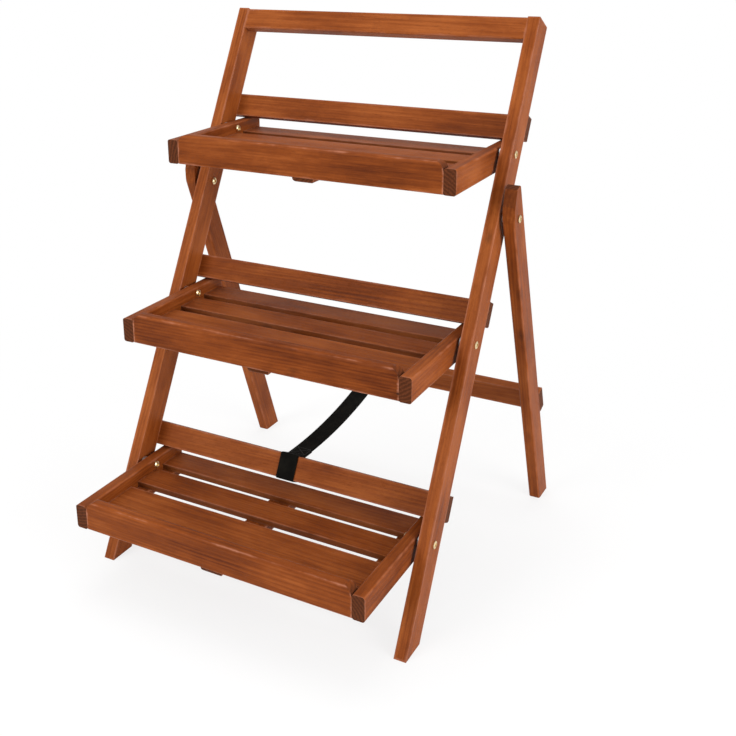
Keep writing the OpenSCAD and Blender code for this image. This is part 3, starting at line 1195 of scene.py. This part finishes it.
@dataclass
class PivotFixings:
    """The fixings that one set of boards turns on: domed bolts, cap nuts and spacers."""

    prefix: str
    shank: float = 3.0 * MM
    socket: float = 2.5 * MM
    socket_depth: float = 1.6 * MM
    bottom_share: float = 0.4
    bottom_depth: float = 0.4 * MM
    dish: float = 3.3 * MM
    dish_depth: float = 0.12 * MM
    dish_rim: float = 0.2 * MM
    rim_share: float = 0.4
    head_ease: float = 0.25 * MM
    tip_ease: float = 0.6 * MM
    spacer_ease: float = 0.5 * MM
    bore_room: float = 0.05 * MM
    bolt_head: float = 2.5 * MM
    dome_steps: int = 7
    steps: int = 48

    def build(self, finishes: Finishes) -> None:
        """Makes the bolts, nuts and spacers of this set.

        Args:
            finishes: The materials.
        """
        sets = (
            ("_bolts", self.bolt, 1, finishes.brass),
            ("_nuts", self.nut, -1, finishes.brass),
            ("_spacers", self.spacer, 1, finishes.steel),
        )
        for ending, make, hand, material in sets:
            one_each(self.prefix + ending, "_fitted", partial(self.fitted, make, hand), material, 40.0)

    def fitted(
        self, make: Callable[[float, float], Shell], hand: int, points: Sequence[Vector]
    ) -> tuple[Shell, Matrix]:
        """Makes one fixing and finds its place.

        Args:
            make: Makes a fixing from its radius and length, its outer end at the origin, along -Z.
            hand: 1 if its outer end looks away from the stand's middle, or -1 if towards it.
            points: The points of its solid.

        Returns:
            A closed mesh, and its place.
        """
        (left, right), (front, back), (low, high) = (span(points, axis) for axis in range(3))
        side = Side.RIGHT if left + right > 0 else Side.LEFT
        way = hand * side.value
        tip = Vector((right if way > 0 else left, (front + back) / 2, (low + high) / 2))
        return make((high - low) / 2, right - left), facing(tip, Vector((way, 0, 0)))

    def domed(self, radius: float, height: float, below: Sequence[tuple[float, float]]) -> Shell:
        """Turns a domed head with a six-sided socket.

        Args:
            radius: The head's radius.
            height: The head's height.
            below: The profile under the head, from the bottom up.

        Returns:
            A closed mesh with its top at the origin.
        """
        rise = height - self.rim_share * height
        bow = (radius * radius + rise * rise) / (2 * rise)
        ease = self.head_ease
        outline = [*below, (radius - ease, -height), (radius, ease - height), (radius, -rise)]
        for step in range(1, self.dome_steps + 1):
            reach = radius + (self.dish - radius) * step / self.dome_steps
            outline.append((reach, math.sqrt(bow * bow - reach * reach) - bow))
        dish_floor = outline[-1][1] - self.dish_depth
        outline.append((self.dish - self.dish_rim, dish_floor))
        bm = turned(outline, self.steps)
        drop = Vector((0, 0, self.socket_depth))
        ring = drawn_in(bm, rim_edges(bm, dish_floor), self.hexagon)
        ring = drawn_in(bm, ring, lambda co: self.hexagon(co) - drop)
        ring = drawn_in(bm, ring, self.drilled)
        return closed(bm, ring)

    def drilled(self, point: Vector) -> Vector:
        """Moves a point in and down to the drilled bottom of the socket."""
        share = self.bottom_share
        return Vector((point.x * share, point.y * share, point.z - self.bottom_depth))

    def hexagon(self, point: Vector) -> Vector:
        """Moves a point in or out to the socket's six sides.

        Args:
            point: The point.

        Returns:
            Its new place, at the same height.
        """
        turn = math.atan2(point.y, point.x)
        sixth = math.tau / 6
        reach = self.socket / math.cos((turn % sixth) - sixth / 2)
        return Vector((reach * math.cos(turn), reach * math.sin(turn), point.z))

    def bolt(self, radius: float, length: float) -> Shell:
        """Turns a bolt: a domed head on a shank with a chamfered end.

        Args:
            radius: The head's radius.
            length: The whole length.

        Returns:
            A closed mesh.
        """
        ease = self.tip_ease
        tip = ((0, -length), (self.shank - ease, -length), (self.shank, ease - length))
        return self.domed(radius, self.bolt_head, (*tip, (self.shank, -self.bolt_head)))

    def nut(self, radius: float, length: float) -> Shell:
        """A cap nut, closed over the bolt's end."""
        return self.domed(radius, length, ((0, -length), (self.shank, -length)))

    def spacer(self, radius: float, length: float) -> Shell:
        """Turns a spacer with chamfered rims and a bore for the bolt.

        Args:
            radius: The spacer's radius.
            length: Its length.

        Returns:
            A closed mesh.
        """
        ease = self.spacer_ease
        bore = self.shank + self.bore_room
        profile = (
            (bore, 0), (radius - ease, 0), (radius, -ease),
            (radius, ease - length), (radius - ease, -length), (bore, -length), (bore, 0),
        )
        bm = turned(profile, self.steps)
        bmesh.ops.recalc_face_normals(bm, faces=bm.faces)
        return bm


# ---- Webbing stay ----


@dataclass
class Strip:
    """A length of webbing swept along a line in the Y-Z plane."""

    width: float = 30 * MM
    thickness: float = 1.5 * MM
    selvedge: float = 1.6 * MM
    bands: int = 10
    round_steps: int = 6

    def profile(self) -> list[tuple[float, float]]:
        """Draws the strap's section, with flat faces and rounded selvedges.

        Returns:
            Places across and through the strap, in order round the section.
        """
        half, thick = self.width / 2, self.thickness / 2
        flat = half - self.selvedge
        across = [flat * (2 * k / self.bands - 1) for k in range(self.bands + 1)]
        turns = [math.pi * k / self.round_steps for k in range(self.round_steps + 1)]
        edge = [(flat + self.selvedge * math.sin(a), thick * math.cos(a)) for a in turns]
        return [
            *((x, thick) for x in across[:-1]), *edge,
            *((-x, -thick) for x in across[1:-1]), *((-x, -y) for x, y in edge),
        ][:-1]

    def swept(self, line: Sequence[Vector]) -> Shell:
        """Sweeps the section along a line.

        Args:
            line: Points of the line.

        Returns:
            A closed mesh with the lay attribute.
        """
        bm = bmesh.new()
        lay = bm.verts.layers.float_vector.new("lay")
        section = self.profile()
        ring = [bm.verts.new((x, y, 0)) for x, y in section]
        edges = [bm.edges.new(pair) for pair in zip(ring, ring[1:] + ring[:1])]
        bmesh.ops.edgeloop_fill(bm, edges=edges)
        along = 0.0
        place = self.station(line, 0)
        bmesh.ops.transform(bm, matrix=place, verts=ring)
        for corner, (x, y) in zip(ring, section):
            corner[lay] = Vector((x, along, y))
        for index in range(1, len(line)):
            along += (line[index] - line[index - 1]).length
            grown = bmesh.ops.extrude_edge_only(bm, edges=edges)["geom"]
            ring, edges = of_kind(grown, bmesh.types.BMVert), of_kind(grown, bmesh.types.BMEdge)
            step = self.station(line, index)
            bmesh.ops.transform(bm, matrix=step @ place.inverted(), verts=ring)
            place = step
            for corner in ring:
                corner[lay] = Vector((corner[lay].x, along, corner[lay].z))
        return closed(bm, edges)

    def station(self, line: Sequence[Vector], index: int) -> Matrix:
        """Turns the section square to a line at one of its points.

        Args:
            line: The line.
            index: Which point.

        Returns:
            The section's place.
        """
        before, after = line[max(index - 1, 0)], line[min(index + 1, len(line) - 1)]
        way = (after - before).normalized()
        turn = Matrix((OUT_RIGHT, way.cross(OUT_RIGHT), way)).transposed()
        return Matrix.Translation(line[index]) @ turn.to_4x4()


@dataclass
class Stitches:
    """A box of sewing with a cross in it, as raised stitches on a strap's face."""

    width: float = 23 * MM
    length: float = 20 * MM
    stitch: float = 2.3 * MM
    gap: float = 0.7 * MM
    thread: float = 0.34 * MM
    flatness: float = 0.75
    steps: int = 8

    def seams(self) -> list[tuple[Vector, Vector]]:
        """Lays out the box's sides and its two diagonals, about its middle.

        Returns:
            The two ends of each seam.
        """
        x, y = self.width / 2, self.length / 2
        a, b, c, d = Vector((-x, -y, 0)), Vector((x, -y, 0)), Vector((x, y, 0)), Vector((-x, y, 0))
        return [(a, b), (b, c), (c, d), (d, a), (a, c), (b, d)]

    def sewn(self, whole: Shell, place: Matrix) -> None:
        """Adds the stitches to a mesh, with material 1.

        Args:
            whole: The strap's mesh.
            place: The middle of the box on the face, with Z out of it.
        """
        for start, end in self.seams():
            run = end - start
            count = max(1, round(run.length / (self.stitch + self.gap)))
            for index in range(count):
                middle = start + run * ((index + 0.5) / count)
                added(whole, self.one(run), place @ Matrix.Translation(middle))

    def one(self, run: Vector) -> Shell:
        """Makes one stitch, a flattened, round-ended bar along a seam.

        Args:
            run: The seam, from its start to its end.

        Returns:
            A closed mesh about the stitch's middle.
        """
        half = self.stitch / 2
        bar = turned((
            (0, -half), (0.7 * self.thread, -0.88 * half), (self.thread, -0.55 * half),
            (self.thread, 0.55 * half), (0.7 * self.thread, 0.88 * half), (0, half),
        ), self.steps)
        bmesh.ops.recalc_face_normals(bar, faces=bar.faces)
        for face in bar.faces:
            face.material_index = 1
        for change in (facing(Vector(), run), Matrix.Diagonal((1, 1, self.flatness, 1))):
            bmesh.ops.transform(bar, matrix=change, verts=bar.verts)
        return bar


@dataclass
class Stay:
    """The webbing stay: a sewn loop round each of two rails, and the run between them."""

    strip: Strip = field(default_factory=Strip)
    stitches: Stitches = field(default_factory=Stitches)
    sewn_length: float = 26 * MM
    bend_rise_deg: float = 40.0
    bend_past: float = 1.02
    corner: float = 2.6 * MM
    corner_steps: int = 6
    overlap: float = 0.4 * MM
    room: float = 0.05 * MM
    tail_narrower: float = 0.6 * MM
    next_step: float = 4 * MM
    longest: float = 4 * MM
    steps: int = 72

    def build(self, finishes: Finishes) -> None:
        """Builds both loops and the run.

        Args:
            finishes: The materials.
        """
        self.loop("strap_front_loop", -LEAN_DEG, finishes)
        self.loop("strap_rear_loop", SPLAY_DEG, finishes)
        self.run(finishes)

    def loop(self, node: str, tilt_deg: float, finishes: Finishes) -> Piece:
        """Makes a band of webbing with soft corners round a rail.

        Args:
            node: The CAD node of the loop.
            tilt_deg: The tilt of its rail.
            finishes: The materials.

        Returns:
            The dressed loop.
        """
        tilt = tilted(tilt_deg)
        local = [tilt.transposed() @ p for points in separate_solids(node) for p in points]
        inset = self.strip.thickness / 2 + self.room + self.corner
        (front, back), (low, high) = (span(local, axis) for axis in (1, 2))
        front, back, low, high = front + inset, back - inset, low + inset, high - inset
        line = []
        for quarter, (y, z) in enumerate(((back, high), (front, high), (front, low), (back, low))):
            for step in range(self.corner_steps + 1):
                turn = math.radians(90 * quarter + 90 * step / self.corner_steps)
                line.append(Vector((0, y, z)) + self.corner * Vector((0, math.cos(turn), math.sin(turn))))
        line.append(line[0] - Vector((0, 0, self.overlap)))
        bm = self.strip.swept([tilt @ p for p in self.filled(line)])
        return stand_in(shown(bm, node + "_webbing", [finishes.webbing, finishes.thread], 60.0), node)

    def filled(self, line: Sequence[Vector]) -> list[Vector]:
        """Puts more points on a line's long stretches.

        Args:
            line: The line.

        Returns:
            The denser line.
        """
        dense = [line[0]]
        for start, end in zip(line, line[1:]):
            count = max(1, math.ceil((end - start).length / self.longest))
            dense += [start.lerp(end, (k + 1) / count) for k in range(count)]
        return dense

    def run(self, finishes: Finishes) -> Piece:
        """Makes the sagging run of webbing between the loops, with its sewn ends.

        Args:
            finishes: The materials.

        Returns:
            The dressed run, which bends between the two frames.
        """
        line = self.sag_line()
        bm = self.strip.swept(line)
        for from_end in (line, line[::-1]):
            self.sewn_end(bm, from_end)
        made = shown(bm, "strap_webbing", [finishes.webbing, finishes.thread], 60.0)
        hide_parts("strap")
        rise = math.radians(self.bend_rise_deg)
        way = Vector((0, math.cos(rise), math.sin(rise)))
        end = line[0] + way * (line[-1] - line[0]).dot(way) * self.bend_past
        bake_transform(made, "ladder_frame", "rear_frame", start=tuple(line[0]), end=tuple(end))
        log.info("%s bends between the frames, with %d faces", made.name, len(made.data.polygons))
        return made

    def sag_line(self) -> list[Vector]:
        """Draws the middle of the run as the parabola through the CAD strap's ends and middle.

        Returns:
            Points from the front to the back.
        """
        points = [p for solid in separate_solids("strap") for p in solid]
        depths = sorted({round(p.y, 5) for p in points})
        known = []
        for y in (depths[0], depths[len(depths) // 2], depths[-1]):
            low, high = span((p for p in points if abs(p.y - y) < 2 * NEAR), 2)
            known.append((y, (low + high) / 2))
        (y0, z0), (y1, z1), (y2, z2) = known
        line = []
        for step in range(self.steps + 1):
            y = y0 + (y2 - y0) * step / self.steps
            z = z0 * (y - y1) * (y - y2) / ((y0 - y1) * (y0 - y2))
            z += z1 * (y - y0) * (y - y2) / ((y1 - y0) * (y1 - y2))
            z += z2 * (y - y0) * (y - y1) / ((y2 - y0) * (y2 - y1))
            line.append(Vector((0, y, z)))
        return line

    def point_at(self, line: Sequence[Vector], distance: float) -> Vector:
        """Finds the first point of a line that is a distance along it.

        Args:
            line: The line.
            distance: How far along.

        Returns:
            The point, or the line's last one.
        """
        gone = 0.0
        for start, end in zip(line, line[1:]):
            gone += (end - start).length
            if gone >= distance:
                return end
        return line[-1]

    def sewn_end(self, bm: Shell, line: Sequence[Vector]) -> None:
        """Sews the loop's tail onto one end of the run, as a second layer with stitches on both faces.

        Args:
            bm: The run's mesh.
            line: The run's line, starting at this end.
        """
        short = [p for p in line if (p - line[0]).length < self.sewn_length]
        drop = Vector((0, 0, -self.strip.thickness))
        tail = Strip(self.strip.width - self.tail_narrower).swept([p + drop for p in short])
        added(bm, tail, Matrix.Identity(4))
        middle = self.point_at(line, self.sewn_length / 2)
        after = self.point_at(line, self.sewn_length / 2 + self.next_step)
        way = (after - middle).normalized()
        across = OUT_RIGHT if way.y > 0 else -OUT_RIGHT
        out = across.cross(way)
        for hand, layers in ((1, 0.5), (-1, 1.5)):
            turn = Matrix((across * hand, way, out * hand)).transposed().to_4x4()
            spot = middle + out * hand * layers * self.strip.thickness
            self.stitches.sewn(bm, Matrix.Translation(spot) @ turn)


# ---- Studio ----


@dataclass(frozen=True)
class Softbox:
    """One large soft light, aimed at the middle of the stand."""

    name: str
    place: tuple[float, float, float]
    size: float
    watts: float
    aim: tuple[float, float, float] = (0.0, 0.0, 0.4)

    def build(self) -> None:
        """Hangs the light and aims it."""
        light = bpy.data.lights.new(self.name, "AREA")
        light.shape = "SQUARE"
        light.size = self.size
        light.energy = self.watts
        made = linked(self.name, light)
        made.location = self.place
        made.rotation_mode = "QUATERNION"
        made.rotation_quaternion = (Vector(self.aim) - Vector(self.place)).to_track_quat("-Z", "Y")


@dataclass
class Studio:
    """The camera at the photograph's angle, a pale floor, a white room and three softboxes."""

    station: tuple[float, float, float] = (0.7267, -1.2608, 0.9214)
    turn_deg: float = 29.7
    tilt_deg: float = -18.0
    roll_deg: float = -0.9
    focal_px: float = 1046.1
    centre_px: tuple[float, float] = (320.0, 262.0)
    frame_px: float = 736.0
    sensor_mm: float = 36.0
    floor_radius: float = 9.0
    floor_steps: int = 96
    floor_drop: float = 0.1 * MM
    fade: tuple[float, float] = (0.35, 1.2)
    near_white: float = 0.78
    paper: tuple[float, float, float, float] = (0.82, 0.82, 0.82, 1.0)
    white: tuple[float, float, float, float] = (1.0, 1.0, 1.0, 1.0)
    room_light: float = 0.68
    lights: tuple[Softbox, ...] = (
        Softbox("key_softbox", (-2.4, -4.9, 3.0), 2.6, 165.0),
        Softbox("side_softbox", (4.6, -1.2, 1.5), 2.8, 175.0),
        Softbox("top_softbox", (-0.4, 0.6, 4.6), 2.6, 75.0),
    )

    def build(self) -> None:
        """Sets up the camera, the floor, the room and the lights."""
        self.camera()
        self.floor()
        self.room()
        for light in self.lights:
            light.build()
        bpy.context.scene.view_settings.view_transform = "Standard"

    def camera(self) -> None:
        """Stands the camera where the photograph was taken from."""
        lens = bpy.data.cameras.new("camera")
        lens.sensor_width = self.sensor_mm
        lens.lens = self.focal_px / self.frame_px * self.sensor_mm
        lens.shift_x = (self.frame_px / 2 - self.centre_px[0]) / self.frame_px
        lens.shift_y = (self.centre_px[1] - self.frame_px / 2) / self.frame_px
        made = linked("camera", lens)
        turn = Matrix.Rotation(math.radians(self.turn_deg), 4, "Z")
        tilt = Matrix.Rotation(math.radians(90 + self.tilt_deg), 4, "X")
        roll = Matrix.Rotation(math.radians(self.roll_deg), 4, "Z")
        made.matrix_world = Matrix.Translation(self.station) @ turn @ tilt @ roll
        bpy.context.scene.camera = made

    def floor(self) -> None:
        """Lays a pale floor that fades to white away from the stand."""
        bm = bmesh.new()
        bmesh.ops.create_circle(bm, cap_ends=True, segments=self.floor_steps, radius=self.floor_radius)
        bmesh.ops.translate(bm, vec=(0, 0, -self.floor_drop), verts=bm.verts)
        mesh = bpy.data.meshes.new("floor")
        bm.to_mesh(mesh)
        bm.free()
        g = Graph(bpy.data.materials.new("pale_floor"))
        x, y, _ = g.parts(g.place())
        away = g.maths("SQRT", g.maths("ADD", g.maths("MULTIPLY", x, x), g.maths("MULTIPLY", y, y)))
        whiteness = g.remap(away, *self.fade, self.near_white, 1.0)
        path = g.add("LightPath")
        seen = g.maths("MAXIMUM", path.outputs["Is Camera Ray"], path.outputs["Is Glossy Ray"])
        seen = g.maths("MAXIMUM", seen, path.outputs["Is Transmission Ray"])
        paper = g.add("BsdfDiffuse", Color=self.paper)
        glow = g.add("Emission", Color=self.white, Strength=1.0)
        g.either(g.maths("MULTIPLY", whiteness, seen), paper, glow, "OutputMaterial")
        mesh.materials.append(g.owner)
        linked("floor", mesh)

    def room(self) -> None:
        """Fills the room with plain soft light, seen as white."""
        g = Graph(bpy.data.worlds.new("room"))
        bpy.context.scene.world = g.owner
        path = g.add("LightPath")
        seen = g.maths("MAXIMUM", path.outputs["Is Camera Ray"], path.outputs["Is Transmission Ray"])
        soft = g.add("Background", Color=self.white, Strength=self.room_light)
        white = g.add("Background", Color=self.white)
        g.either(seen, soft, white, "OutputWorld")


def main() -> None:
    """Builds the stand's looks in order."""
    logging.basicConfig(level=logging.INFO, format="%(name)s: %(message)s")
    Studio().build()
    finishes = Finishes.made()
    LadderFrame().build(finishes)
    RearFrame().build(finishes)
    for level in Level:
        Tray(level).build(finishes)
    for node, tilt_deg in (("cross_rail_screws", -LEAN_DEG), ("rear_rail_screws", SPLAY_DEG)):
        Screws(node, tilted(tilt_deg) @ Vector((0, 1, 0))).build(finishes)
    PivotFixings("tray_pivot").build(finishes)
    PivotFixings("leg_pivot").build(finishes)
    Stay().build(finishes)


if __name__ == "__main__":
    main()
